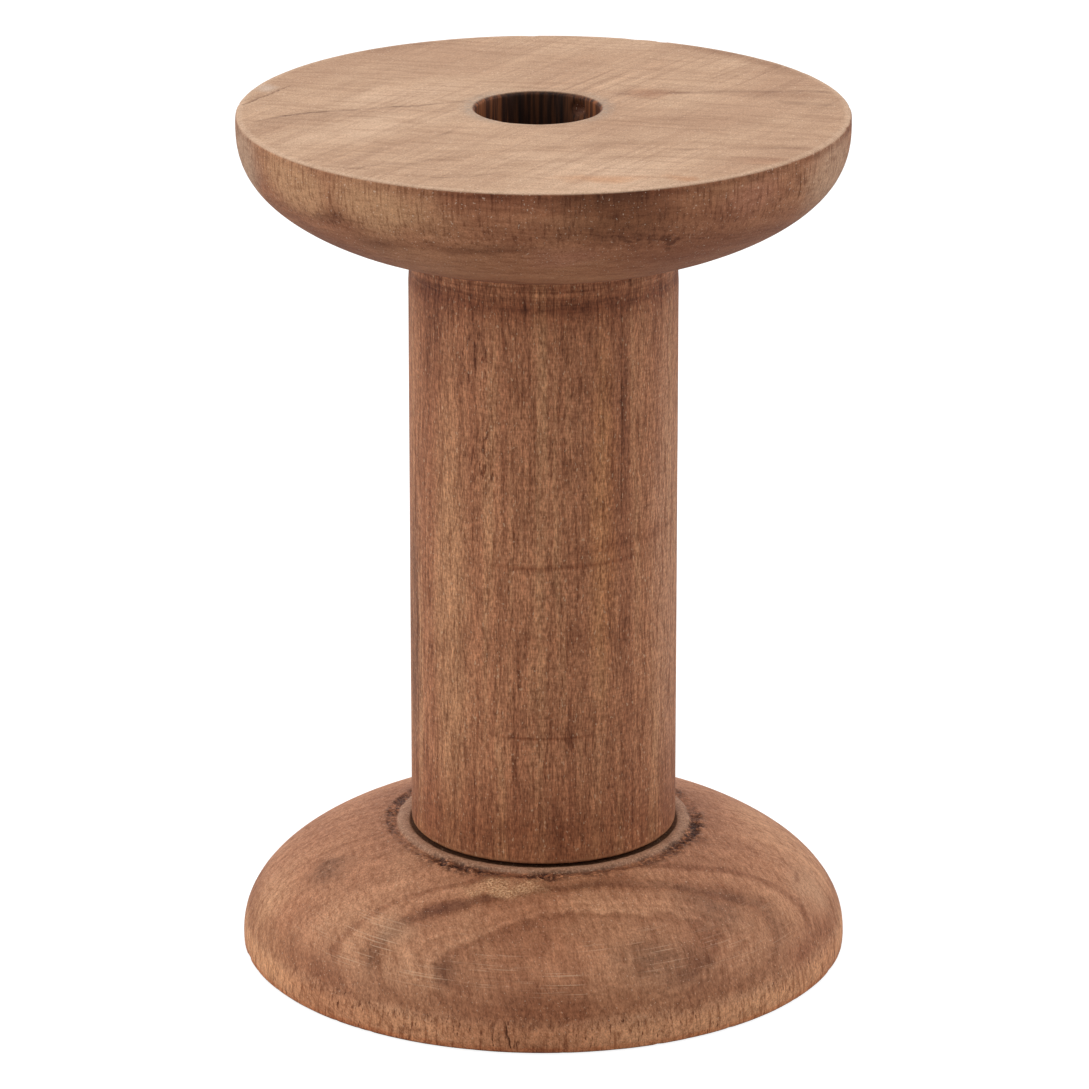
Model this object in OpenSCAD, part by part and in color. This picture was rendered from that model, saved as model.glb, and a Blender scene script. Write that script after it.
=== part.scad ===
// Turned wooden spool: two domed flanges glued on a round barrel, with one
// hole through all three for a spindle. The spool stands on its lower flange.
// Origin: on the barrel's axis, in the plane the lower flange stands on.
// +Z runs up the barrel. The view in the photograph looks along +Y.

/* [Overall] */
// Height over the two end faces
overall_h = 144.2; // [125:0.1:200]
// Diameter of the upper flange
top_flange_d = 99.9; // [80:0.1:130]
// Diameter of the lower flange
base_flange_d = 101.6; // [80:0.1:130]
// Thickness of the upper flange at its middle
top_flange_h = 22; // [18:0.1:26]
// Thickness of the lower flange at its middle
base_flange_h = 21.35; // [18:0.1:26]

/* [Flange shape] */
// Height of the upright band at a flange's outer edge
edge_band_h = 1.5; // [1.2:0.1:4]
// Rounding of a flange's outer edge
edge_round = 0.6; // [0.2:0.1:1]
// How square the upper flange's dome is towards its outer edge
top_dome_up = 2.56; // [1.8:0.01:3]
// How square the lower flange's dome is towards its outer edge
base_dome_up = 2.2; // [1.8:0.01:3]
// How square both domes are towards the barrel
dome_in_power = 1.22; // [1.1:0.01:2]
// Width of the raised bead round the barrel
bead_w = 2.3; // [1.5:0.1:3]
// Height of the bead above the seat that the barrel stands over
bead_h = 0.45; // [0.2:0.05:1]
// Width of the groove outside the bead
groove_w = 1.8; // [1:0.1:3]

/* [Barrel] */
// Diameter of the barrel
barrel_d = 44.3; // [40:0.1:50]
// Rounding of the barrel's two shoulders
shoulder_round = 0.6; // [0.2:0.1:1]
// Open gap between the lower shoulder and the flange
base_gap = 0.55; // [0.2:0.05:1]
// Open gap between the upper shoulder and the flange
top_gap = 0.35; // [0.2:0.05:1]

/* [Tenons] */
// Diameter of the turned tenon at each end of the barrel
tenon_d = 34; // [32:0.5:36]
// Wood left between a tenon's end and the flange's outer face
socket_floor = 9; // [6:0.5:11]
// Thickness of the glue line round a tenon
glue_t = 0.25; // [0.2:0.05:0.5]

/* [Bore] */
// Diameter of the hole for the spindle
bore_d = 20.2; // [12:0.1:24]
// How far the hole has drifted to the left of the middle
bore_left = 0.95; // [0:0.05:1.5]
// How far the hole has drifted to the back of the middle
bore_back = 1.8; // [0:0.05:2]
// Worn rounding of the hole's two mouths
mouth_wear = 0.5; // [0.2:0.1:1]

/* [Hidden] */
$fn = 180;

// Radii shared by both flanges
seat_r = barrel_d / 2 + 0.2;          // the seat ends just outside the barrel
bead_r = seat_r + bead_w / 2;         // crest of the bead
groove_in = seat_r + bead_w + 0.1;
groove_out = groove_in + groove_w;
dome_in = bead_r + 0.5;               // the dome's curve would end here, under the groove
groove_depth = bead_h + 0.15;         // below the bead's crest

// Heights
base_seat = base_flange_h - bead_h;
top_seat = top_flange_h - bead_h;
shoulder_lo = base_seat + base_gap;
shoulder_hi = overall_h - top_seat - top_gap;
tenon_lo = socket_floor;
tenon_hi = overall_h - socket_floor;
socket_r = tenon_d / 2 + glue_t;

// One point of a quarter of a superellipse. t = 0 is at the outer edge.
function dome_at(t, r_out, h, up) = [
    dome_in + (r_out - dome_in) * pow(cos(t), 2 / dome_in_power),
    edge_band_h + (h - edge_band_h) * pow(sin(t), 2 / up)];

// The angle at which the dome meets the groove
function dome_end(r_out) =
    acos(pow((groove_out - dome_in) / (r_out - dome_in), dome_in_power / 2));

// Half section of a flange, outer face down, as [radius, height]
function flange_section(r_out, h, up) = let(end = dome_end(r_out), n = 30) concat(
    [[0, 0], [r_out - edge_round, 0]],
    [for (a = [15 : 15 : 75]) [r_out - edge_round * (1 - sin(a)), edge_round * (1 - cos(a))]],
    [[r_out, edge_round]],
    [for (i = [0 : n]) dome_at(end * i / n, r_out, h, up)],
    [[groove_out - 0.35, h - groove_depth], [groove_in, h - groove_depth]],
    [for (a = [10 : 20 : 170])
        [bead_r + bead_w / 2 * cos(a), h - bead_h + bead_h * sin(a)]],
    [[seat_r, h - bead_h], [0, h - bead_h]]);

// Half section of the barrel with its two tenons
function barrel_section() = let(r = barrel_d / 2, q = shoulder_round, t = tenon_d / 2) concat(
    [[0, tenon_lo], [t - 0.6, tenon_lo], [t, tenon_lo + 0.6], [t, shoulder_lo]],
    [for (a = [0 : 15 : 90]) [r - q + q * sin(a), shoulder_lo + q - q * cos(a)]],
    [for (a = [0 : 15 : 90]) [r - q + q * cos(a), shoulder_hi - q + q * sin(a)]],
    [[t, shoulder_hi], [t, tenon_hi - 0.6], [t - 0.6, tenon_hi], [0, tenon_hi]]);

// The spindle hole, with a flared mouth at each end face
module bore_cut() {
    translate([-bore_left, bore_back, 0]) {
        translate([0, 0, -1]) cylinder(d = bore_d, h = overall_h + 2);
        translate([0, 0, -1])
            cylinder(r1 = bore_d / 2 + mouth_wear + 1, r2 = bore_d / 2, h = mouth_wear + 1);
        translate([0, 0, overall_h - mouth_wear])
            cylinder(r1 = bore_d / 2, r2 = bore_d / 2 + mouth_wear + 1, h = mouth_wear + 1);
    }
}

// A flange with its blind socket, outer face down
module flange_blank(d, h, up) {
    difference() {
        rotate_extrude() polygon(flange_section(d / 2, h, up));
        translate([0, 0, socket_floor]) cylinder(r = socket_r, h = h);
    }
}

// A tube of glue between a tenon and its socket
module glue_ring(z, h) {
    translate([0, 0, z]) difference() {
        cylinder(r = socket_r, h = h);
        translate([0, 0, -1]) cylinder(d = tenon_d, h = h + 2);
    }
}

module top_flange() {
    color([0.75, 0.56, 0.39]) difference() {
        translate([0, 0, overall_h]) mirror([0, 0, 1])
            flange_blank(top_flange_d, top_flange_h, top_dome_up);
        bore_cut();
    }
}

module barrel() {
    color([0.62, 0.40, 0.25]) difference() {
        rotate_extrude() polygon(barrel_section());
        bore_cut();
    }
}

module base_flange() {
    color([0.68, 0.47, 0.31]) difference() {
        flange_blank(base_flange_d, base_flange_h, base_dome_up);
        bore_cut();
    }
}

module top_glue_film() {
    color([0.55, 0.33, 0.12])
        glue_ring(overall_h - top_seat, top_seat - socket_floor);
}

module base_glue_film() {
    color([0.55, 0.33, 0.12])
        glue_ring(socket_floor, base_seat - socket_floor);
}

top_flange();
barrel();
base_flange();
top_glue_film();
base_glue_film();
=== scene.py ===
import math

import bpy
import numpy as np
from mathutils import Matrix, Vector


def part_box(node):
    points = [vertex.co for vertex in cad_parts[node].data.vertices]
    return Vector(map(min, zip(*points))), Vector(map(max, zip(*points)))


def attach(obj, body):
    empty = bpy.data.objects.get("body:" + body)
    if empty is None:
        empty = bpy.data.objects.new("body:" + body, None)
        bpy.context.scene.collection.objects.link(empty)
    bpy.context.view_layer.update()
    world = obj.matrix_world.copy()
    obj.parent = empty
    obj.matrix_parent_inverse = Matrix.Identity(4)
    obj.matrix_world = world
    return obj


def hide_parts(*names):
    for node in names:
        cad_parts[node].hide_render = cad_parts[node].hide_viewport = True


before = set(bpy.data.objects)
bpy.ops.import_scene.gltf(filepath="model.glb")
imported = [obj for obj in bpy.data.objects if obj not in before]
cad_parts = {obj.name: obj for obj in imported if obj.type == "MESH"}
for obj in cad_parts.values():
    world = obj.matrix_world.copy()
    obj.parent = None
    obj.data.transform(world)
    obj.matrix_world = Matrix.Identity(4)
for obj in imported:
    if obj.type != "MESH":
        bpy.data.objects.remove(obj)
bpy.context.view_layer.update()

# ---------------------------------------------------------------- dimensions
# Millimetres, as in the solids. Heights come from the frame's own boxes.
MM = 1000.0
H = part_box("top_flange")[1].z * MM
R_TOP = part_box("top_flange")[1].x * MM
R_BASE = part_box("base_flange")[1].x * MM
T_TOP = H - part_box("top_flange")[0].z * MM
T_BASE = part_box("base_flange")[1].z * MM
R_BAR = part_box("barrel")[1].x * MM
FLOOR_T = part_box("barrel")[0].z * MM      # wood under a socket

BAND, EDGE = 1.5, 0.6
BEAD_W, BEAD_H = 2.3, 0.45
SEAT_R = R_BAR + 0.2
BEAD_R = SEAT_R + BEAD_W / 2
GROOVE_IN = SEAT_R + BEAD_W + 0.1
GROOVE_OUT = GROOVE_IN + 1.8
GROOVE_D = BEAD_H + 0.15
DOME_IN = BEAD_R + 0.5
DOME_POW = 1.22
TENON_R, GLUE_T = 17.0, 0.25
BORE_R, BORE_X, BORE_Y, MOUTH = 10.1, -0.95, 1.8, 0.5
Z_LO = T_BASE - BEAD_H + 0.55             # lower shoulder of the barrel
Z_HI = H - (T_TOP - BEAD_H) - 0.35        # upper shoulder

# where a ring of the mesh lies
FACE, RIM_IN, MOUTH_, BORE, HID, SEAT, BEAD, GROOVE, DOME, RIM = range(10)


# ---------------------------------------------------------------- numpy noise
def _hash(ix, iy, iz, seed):
    h = (ix * 73856093) ^ (iy * 19349663) ^ (iz * 83492791) ^ (seed * 40503 + 7919)
    h &= 0x7FFFFFFF
    h = ((h ^ (h >> 13)) * 1274126177) & 0x7FFFFFFF
    h = ((h ^ (h >> 15)) * 668265263) & 0x7FFFFFFF
    return ((h ^ (h >> 12)) & 0xFFFF) / 32767.5 - 1.0


def vnoise(p, size, seed=0):
    """Smooth value noise from -1 to 1. p has its last axis of 3; size is in mm, one number or three."""
    q = p / np.asarray(size, float)
    i = np.floor(q)
    f = q - i
    f = f * f * f * (f * (6 * f - 15) + 10)
    i = i.astype(np.int64)
    out = 0.0
    for dx in (0, 1):
        wx = f[..., 0] if dx else 1 - f[..., 0]
        for dy in (0, 1):
            wy = f[..., 1] if dy else 1 - f[..., 1]
            for dz in (0, 1):
                wz = f[..., 2] if dz else 1 - f[..., 2]
                out = out + wx * wy * wz * _hash(i[..., 0] + dx, i[..., 1] + dy, i[..., 2] + dz, seed)
    return out


def fnoise(p, size, octaves=3, seed=0):
    out, amp, total = 0.0, 1.0, 0.0
    for k in range(octaves):
        out = out + amp * vnoise(p, np.asarray(size, float) / 2**k, seed + 17 * k)
        total += amp
        amp *= 0.55
    return out / total


def smooth(x, a, b):
    t = np.clip((x - a) / (b - a), 0, 1)
    return t * t * (3 - 2 * t)


def bump01(x, centre, half):
    return np.clip(1 - np.abs(x - centre) / half, 0, 1)


def poly_distance(x, y, pts):
    """Distance in the plane from each (x, y) to a polyline, and how far along it (0 to 1)."""
    best = np.full(np.shape(x), 1e9)
    along = np.zeros(np.shape(x))
    pts = np.asarray(pts, float)
    seg = np.linalg.norm(np.diff(pts, axis=0), axis=1)
    run = np.concatenate([[0], np.cumsum(seg)])
    for k in range(len(pts) - 1):
        a, b = pts[k], pts[k + 1]
        d = b - a
        t = np.clip(((x - a[0]) * d[0] + (y - a[1]) * d[1]) / (d @ d), 0, 1)
        dist = np.hypot(x - a[0] - t * d[0], y - a[1] - t * d[1])
        near = dist < best
        best = np.where(near, dist, best)
        along = np.where(near, (run[k] + t * seg[k]) / run[-1], along)
    return best, along


# ---------------------------------------------------------------- ring lists
class Rings:
    """Half section of a turned piece as rings: radius, height, share of the bore's offset, and region."""

    def __init__(self):
        self.rows = []

    def line(self, a, b, n, tag, c=(0, 0), bias=1.0):
        for k in range(n):
            t = (k / n) ** bias
            self.rows.append((a[0] + (b[0] - a[0]) * t, a[1] + (b[1] - a[1]) * t,
                              c[0] + (c[1] - c[0]) * t, tag))

    def curve(self, f, n, tag, c=0.0):
        """f(t) for t from 0 to 1, spaced evenly by arc length, end left out."""
        t = np.linspace(0, 1, 1200)
        p = np.array([f(x) for x in t])
        s = np.concatenate([[0], np.cumsum(np.hypot(*np.diff(p, axis=0).T))])
        for k in range(n):
            r = np.interp(s[-1] * k / n, s, p[:, 0])
            z = np.interp(s[-1] * k / n, s, p[:, 1])
            self.rows.append((r, z, c, tag))

    def arrays(self):
        a = np.array([x[:3] for x in self.rows], float)
        return a[:, 0], a[:, 1], a[:, 2], np.array([x[3] for x in self.rows])


def flange_rings(R, h, up):
    """A flange with its outer face down at z = 0."""
    g = Rings()
    # outer face, dense near the rim and near the hole
    g.line((R - EDGE, 0), (R - 6.6, 0), 15, FACE)
    g.line((R - 6.6, 0), (BORE_R + 4.5, 0), 20, FACE, (0, 0.85))
    g.line((BORE_R + 4.5, 0), (BORE_R + MOUTH + 0.15, 0), 9, FACE, (0.85, 1))
    g.line((BORE_R + MOUTH + 0.15, 0), (BORE_R + MOUTH - 0.08, 0.05), 2, MOUTH_, (1, 1))
    g.line((BORE_R + MOUTH - 0.08, 0.05), (BORE_R + 0.06, MOUTH - 0.06), 4, MOUTH_, (1, 1))
    g.line((BORE_R + 0.06, MOUTH - 0.06), (BORE_R, MOUTH + 0.25), 2, MOUTH_, (1, 1))
    g.line((BORE_R, MOUTH + 0.25), (BORE_R, FLOOR_T), 15, BORE, (1, 1))
    g.line((BORE_R, FLOOR_T), (TENON_R + GLUE_T, FLOOR_T), 3, HID, (1, 0))
    g.line((TENON_R + GLUE_T, FLOOR_T), (TENON_R + GLUE_T, h - BEAD_H), 3, HID)
    g.line((TENON_R + GLUE_T, h - BEAD_H), (SEAT_R, h - BEAD_H), 4, SEAT)
    g.curve(lambda t: (BEAD_R - BEAD_W / 2 * math.cos(math.pi * t), h - BEAD_H + BEAD_H * math.sin(math.pi * t)), 14, BEAD)
    end = math.acos(((GROOVE_OUT - DOME_IN) / (R - DOME_IN)) ** (DOME_POW / 2))
    top = DOME_IN + (R - DOME_IN) * math.cos(end) ** (2 / DOME_POW), BAND + (h - BAND) * math.sin(end) ** (2 / up)
    g.line((GROOVE_IN - 0.1, h - GROOVE_D + 0.12), (GROOVE_IN + 0.1, h - GROOVE_D), 1, GROOVE)
    g.line((GROOVE_IN + 0.1, h - GROOVE_D), (GROOVE_OUT - 0.35, h - GROOVE_D), 6, GROOVE)
    g.line((GROOVE_OUT - 0.35, h - GROOVE_D), top, 3, GROOVE)

    def dome(t):
        a = end * (1 - t)
        return (DOME_IN + (R - DOME_IN) * max(math.cos(a), 0) ** (2 / DOME_POW),
                BAND + (h - BAND) * math.sin(a) ** (2 / up))
    g.curve(dome, 92, DOME)
    g.line((R, BAND), (R, EDGE), 4, DOME)
    g.curve(lambda t: (R - EDGE * (1 - math.cos(math.pi / 2 * t)), EDGE * (1 - math.sin(math.pi / 2 * t))), 7, RIM)
    return g


def barrel_rings():
    g = Rings()
    q = 0.6
    lo, hi = FLOOR_T, H - FLOOR_T
    g.line((TENON_R - 0.6, lo), (BORE_R, lo), 4, HID, (0, 1))
    g.line((BORE_R, lo), (BORE_R, hi), 50, BORE, (1, 1))
    g.line((BORE_R, hi), (TENON_R - 0.6, hi), 4, HID, (1, 0))
    g.line((TENON_R - 0.6, hi), (TENON_R, hi - 0.6), 2, HID)
    g.line((TENON_R, hi - 0.6), (TENON_R, Z_HI), 3, HID)
    g.line((TENON_R, Z_HI), (R_BAR - q, Z_HI), 4, SEAT)
    g.curve(lambda t: (R_BAR - q + q * math.sin(math.pi / 2 * t), Z_HI - q + q * math.cos(math.pi / 2 * t)), 7, RIM)
    g.line((R_BAR, Z_HI - q), (R_BAR, Z_HI - 9), 26, DOME)
    g.line((R_BAR, Z_HI - 9), (R_BAR, Z_LO + 6), 88, DOME)
    g.line((R_BAR, Z_LO + 6), (R_BAR, Z_LO + q), 14, DOME)
    g.curve(lambda t: (R_BAR - q + q * math.cos(math.pi / 2 * t), Z_LO + q - q * math.sin(math.pi / 2 * t)), 7, RIM)
    g.line((R_BAR - q, Z_LO), (TENON_R, Z_LO), 4, SEAT)
    g.line((TENON_R, Z_LO), (TENON_R, lo + 0.6), 3, HID)
    g.line((TENON_R, lo + 0.6), (TENON_R - 0.6, lo), 2, HID)
    return g


def azimuths(n, fine=()):
    """Even steps round the piece, in radians from the front (-Y) towards +X, with extra steps where a split runs.
    fine: (middle in degrees, half width in degrees, step in degrees)."""
    a = list(np.linspace(-180, 180, n, endpoint=False))
    for mid, half, step in fine:
        a = [x for x in a if abs(x - mid) > half]
        a += list(np.arange(mid - half, mid + half + 1e-9, step))
    return np.radians(np.array(sorted(a)))


def turned_piece(name, rings, az, displace, flip=False):
    """A closed mesh from rings, moved along its normals by displace(), which also returns named vertex values."""
    r, z, c, tag = rings.arrays()
    prev, nxt = np.roll(np.arange(len(r)), 1), np.roll(np.arange(len(r)), -1)
    tr, tz = r[nxt] - r[prev], z[nxt] - z[prev]
    ln = np.hypot(tr, tz)
    nr, nz = -tz / ln, tr / ln
    P = np.stack([
        c[:, None] * BORE_X + r[:, None] * np.sin(az)[None],
        c[:, None] * BORE_Y - r[:, None] * np.cos(az)[None],
        np.repeat(z[:, None], len(az), 1)], -1)
    if flip:
        P[..., 2] = H - P[..., 2]
        nz = -nz
    N = np.stack([
        nr[:, None] * np.sin(az)[None],
        -nr[:, None] * np.cos(az)[None],
        np.repeat(nz[:, None], len(az), 1)], -1)
    info = dict(P=P, r=np.repeat(r[:, None], len(az), 1), z=P[..., 2], az=np.repeat(az[None], len(r), 0),
                tag=np.repeat(tag[:, None], len(az), 1), prof_z=np.repeat(z[:, None], len(az), 1), N=N)
    d, shift, values = displace(info)
    P = P + N * d[..., None] + shift
    m, n = len(r), len(az)
    i, j = np.meshgrid(np.arange(m), np.arange(n), indexing="ij")
    i1, j1 = (i + 1) % m, (j + 1) % n
    quads = np.stack([i * n + j, i1 * n + j, i1 * n + j1, i * n + j1], -1).reshape(-1, 4)
    co = P.reshape(-1, 3) / MM
    # outward faces: the signed volume is positive
    v = co[quads]
    vol = np.einsum("ij,ij->i", v[:, 0], np.cross(v[:, 1], v[:, 2])).sum() + np.einsum("ij,ij->i", v[:, 0], np.cross(v[:, 2], v[:, 3])).sum()
    turn = vol < 0
    if turn:
        quads = quads[:, ::-1]
    me = bpy.data.meshes.new(name)
    me.vertices.add(len(co))
    me.vertices.foreach_set("co", co.astype(np.float32).ravel())
    me.loops.add(quads.size)
    me.loops.foreach_set("vertex_index", quads.astype(np.int32).ravel())
    me.polygons.add(len(quads))
    me.polygons.foreach_set("loop_start", (np.arange(len(quads)) * 4).astype(np.int32))
    me.polygons.foreach_set("use_smooth", np.ones(len(quads), bool))
    me.update(calc_edges=True)
    # a map: round the piece by along the section
    s = np.concatenate([[0], np.cumsum(np.hypot(np.diff(np.append(r, r[0])), np.diff(np.append(z, z[0]))))])
    s = s / s[-1]
    a = np.append(az, az[0] + 2 * math.pi)
    a = (a - a[0]) / (2 * math.pi)
    u = np.stack([a[j], a[j], a[j + 1], a[j + 1]], -1).reshape(-1, 4)
    w = np.stack([s[i], s[i + 1], s[i + 1], s[i]], -1).reshape(-1, 4)
    if turn:
        u, w = u[:, ::-1], w[:, ::-1]
    layer = me.uv_layers.new(name="around", do_init=False)
    layer.uv.foreach_set("vector", np.stack([u, w], -1).astype(np.float32).ravel())
    for key, val in values.items():
        at = me.attributes.new(key, "FLOAT", "POINT")
        at.data.foreach_set("value", np.clip(val, 0, 1).astype(np.float32).ravel())
    me.validate()
    ob = bpy.data.objects.new(name, me)
    bpy.context.scene.collection.objects.link(ob)
    return ob


# ---------------------------------------------------------------- wear and torn grain
def crack_set(az_deg, z, R, cracks, depth):
    """Narrow V splits on an upright band. cracks: (polyline of (degrees, z), half width in mm, strength)."""
    d = np.zeros(az_deg.shape)
    dark = np.zeros(az_deg.shape)
    x = np.radians(az_deg) * R
    for pts, half, strength in cracks:
        line = [(math.radians(a) * R, zz) for a, zz in pts]
        dist, along = poly_distance(x, z, line)
        width = half * (0.35 + 0.65 * np.sin(np.pi * np.clip(along, 0.04, 0.96)))
        v = np.clip(1 - dist / width, 0, 1) * strength
        d = np.minimum(d, -depth * v)
        dark = np.maximum(dark, v)
    return d, dark


BASE_CRACKS = [
    ([(-6.95, 5.0), (-6.75, 4.0), (-6.85, 3.4), (-6.25, 2.4), (-6.2, 1.6), (-5.95, 0.9)], 0.2, 1.0),
    ([(-9.35, 5.0), (-9.25, 3.6), (-9.4, 2.6), (-9.2, 1.1)], 0.11, 0.75),
    ([(-8.25, 3.4), (-8.05, 2.4), (-8.2, 1.4)], 0.1, 0.6),
    ([(34.3, 5.2), (34.5, 3.9), (34.45, 2.7)], 0.1, 0.55),
    ([(30.1, 4.6), (30.25, 3.4), (30.2, 2.2)], 0.1, 0.5),
    ([(27.5, 3.9), (27.6, 2.3)], 0.08, 0.35),
    ([(152.0, 6.0), (152.3, 3.5), (152.1, 0.8)], 0.12, 0.6),
    ([(-121.0, 5.0), (-121.2, 2.9), (-121.1, 1.2)], 0.1, 0.5),
]
TOP_CRACKS = [
    ([(54.35, 141.6), (54.45, 140.2), (54.7, 138.6), (54.6, 137.1)], 0.13, 0.9),
    ([(53.6, 142.4), (53.7, 141.2)], 0.09, 0.4),
    ([(-150.0, 142.6), (-149.7, 139.5), (-149.9, 137.0)], 0.12, 0.6),
    ([(128.0, 142.0), (128.2, 138.8)], 0.1, 0.5),
]
# a crack in the upper face that runs in from the rim at the left
FACE_CRACK = [(-48.8, 3.9), (-47.3, 6.0), (-46.6, 7.9), (-45.6, 9.0), (-44.4, 11.1), (-43.4, 13.0), (-41.9, 15.4)]


def torn_weight(az_deg, seed):
    """How torn the groove round the foot is, by azimuth: worst at the front left, the front and the right."""
    a = np.radians(az_deg)
    ring = np.stack([np.sin(a) * 26, np.cos(a) * 26, np.zeros_like(a)], -1)
    w = 0.55 + 0.45 * vnoise(ring, 7.0, seed)
    for mid, half, more in ((-30, 26, 0.45), (2, 12, 0.25), (62, 30, 0.5), (-96, 22, 0.25)):
        w = w + more * np.clip(1 - np.abs((az_deg - mid + 180) % 360 - 180) / half, 0, 1)
    return np.clip(w, 0, 1.25)


def flange_displace(R, h, cracks, seed, is_top):
    def run(g):
        P, r, pz, az, tag = g["P"], g["r"], g["prof_z"], g["az"], g["tag"]
        azd = np.degrees(az)
        d = np.zeros(r.shape)
        shift = np.zeros(P.shape)
        side = ((tag == DOME) | (tag == RIM)) * 1.0
        # turned by eye: the dome is not quite round and carries faint tool ripple
        low = 0.5 + 0.5 * fnoise(P, 26.0, 2, seed)
        fine = fnoise(P, (3.2, 3.2, 2.2), 3, seed + 3)
        ripple = np.sin(2 * np.pi * (pz * 0.9 + r * 0.55 + 0.6 * vnoise(P, 12.0, seed + 5)) / 1.05)
        body = side * smooth(r, GROOVE_OUT - 0.5, GROOVE_OUT + 2.5)
        d = d - body * (0.04 * low + 0.012 * (1 + fine) + 0.005 * (1 + ripple))
        # sanding flats across the shoulder of the dome
        d = d - body * 0.04 * np.clip(vnoise(P, 9.0, seed + 9) - 0.2, 0, 1)
        # torn groove round the foot
        w = torn_weight(azd, seed + 20) * (1.0 if not is_top else 0.5)
        wander = 0.28 * vnoise(P, 3.0, seed + 21)
        inner = smooth(r + wander, GROOVE_IN - 0.75, GROOVE_IN + 0.3)
        outer = 1 - smooth(r + wander, GROOVE_OUT - 0.45, GROOVE_OUT + 1.1 * w + 0.25)
        zone = inner * outer * np.isin(tag, (GROOVE, DOME, BEAD))
        tear = fnoise(P, (1.05, 1.05, 1.4), 3, seed + 22)
        pit = np.clip(tear * 1.7 + 0.24 * w, -0.45, 1.0)
        d = d - zone * w * 0.34 * pit
        pit_dark = zone * w * np.clip(pit * 1.5 - 0.1, 0, 1)
        # short torn splinters outside the groove, where the tool lifted the grain
        lift = np.clip(fnoise(P, (1.6, 0.8, 1.0), 2, seed + 25) - 0.22, 0, 1) * (1 - smooth(r, GROOVE_OUT + 0.2, GROOVE_OUT + 4.2)) * smooth(r, GROOVE_OUT - 0.8, GROOVE_OUT) * w
        d = d - 0.16 * lift * side
        pit_dark = np.maximum(pit_dark, np.clip(lift * 1.6, 0, 0.6) * side)
        # the bead is uneven, and pinched in places
        bead = np.isin(tag, (BEAD,))
        d = d + bead * (0.05 * vnoise(P, 2.4, seed + 30) + 0.03 * vnoise(P, 0.8, seed + 31) - 0.03)
        # upright splits in the outer band
        cd, cdark = crack_set(azd, P[..., 2], R, cracks, 0.42)
        near = side * smooth(r, R - 4.5, R - 2.5)
        d = d + cd * near
        crack = cdark * near
        # worn rim: the corner is rubbed down unevenly, with a few small nicks
        ringp = np.stack([np.sin(az) * R, np.cos(az) * R, np.zeros_like(az)], -1)
        rub = 0.5 + 0.5 * fnoise(ringp, 5.0, 3, seed + 40)
        nick = np.clip(vnoise(ringp, 1.7, seed + 43) - 0.62, 0, 1) * 2.6
        at_rim = np.where(tag == RIM, 1.0, 0.0) + np.where((tag == DOME) & (pz < BAND), smooth(-pz, -BAND, -EDGE), 0) + np.where((tag == FACE), smooth(r, R - 1.6, R - EDGE), 0)
        at_rim = np.clip(at_rim, 0, 1)
        d = d - at_rim * (0.05 * rub + 0.16 * nick)
        edge = at_rim
        # the hole's mouth: worn and a little chipped
        mouth = np.where(tag == MOUTH_, 1.0, 0) + np.where(tag == FACE, 1 - smooth(r, BORE_R + 0.7, BORE_R + 2.2), 0)
        ringb = np.stack([np.sin(az) * 10, np.cos(az) * 10, np.zeros_like(az) + 50], -1)
        d = d - np.clip(mouth, 0, 1) * 0.07 * (0.5 + 0.5 * fnoise(ringb, 2.2, 3, seed + 50))
        # drilled wall: scored upright lines and slight waviness
        wall = (tag == BORE)
        d = d + wall * (0.05 * vnoise(P, (0.9, 0.9, 14.0), seed + 52) - 0.05)
        if is_top:
            # torn-out knot in the wall at the back right of the hole, open to just under the mouth
            k = np.sqrt(((azd - 138) / 9.0) ** 2 + ((pz - 2.4) / 1.5) ** 2)
            hole = np.clip(1.15 - k + 0.35 * vnoise(P, 1.0, seed + 60), 0, 1) * np.isin(tag, (BORE, MOUTH_))
            d = d - 0.9 * hole
            pit_dark = np.maximum(pit_dark, smooth(hole, 0.15, 0.6) * 0.9)
            # crack in the face
            dist, along = poly_distance(P[..., 0], P[..., 1], FACE_CRACK)
            v = np.clip(1 - dist / (0.42 * (1.05 - 0.6 * along)), 0, 1) * (tag == FACE)
            d = d - 0.22 * v
            crack = np.maximum(crack, v * 0.7)
            # the face is not dead flat after hand sanding: it falls off a little near the rim
            d = d - (tag == FACE) * 0.05 * smooth(r, R - 7, R - EDGE) * (0.5 + 0.5 * vnoise(ringp, 14.0, seed + 63))
        return d, shift, {"pit": pit_dark, "crack": crack, "edge": edge, "torn": zone * np.clip(w, 0, 1)}
    return run


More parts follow.
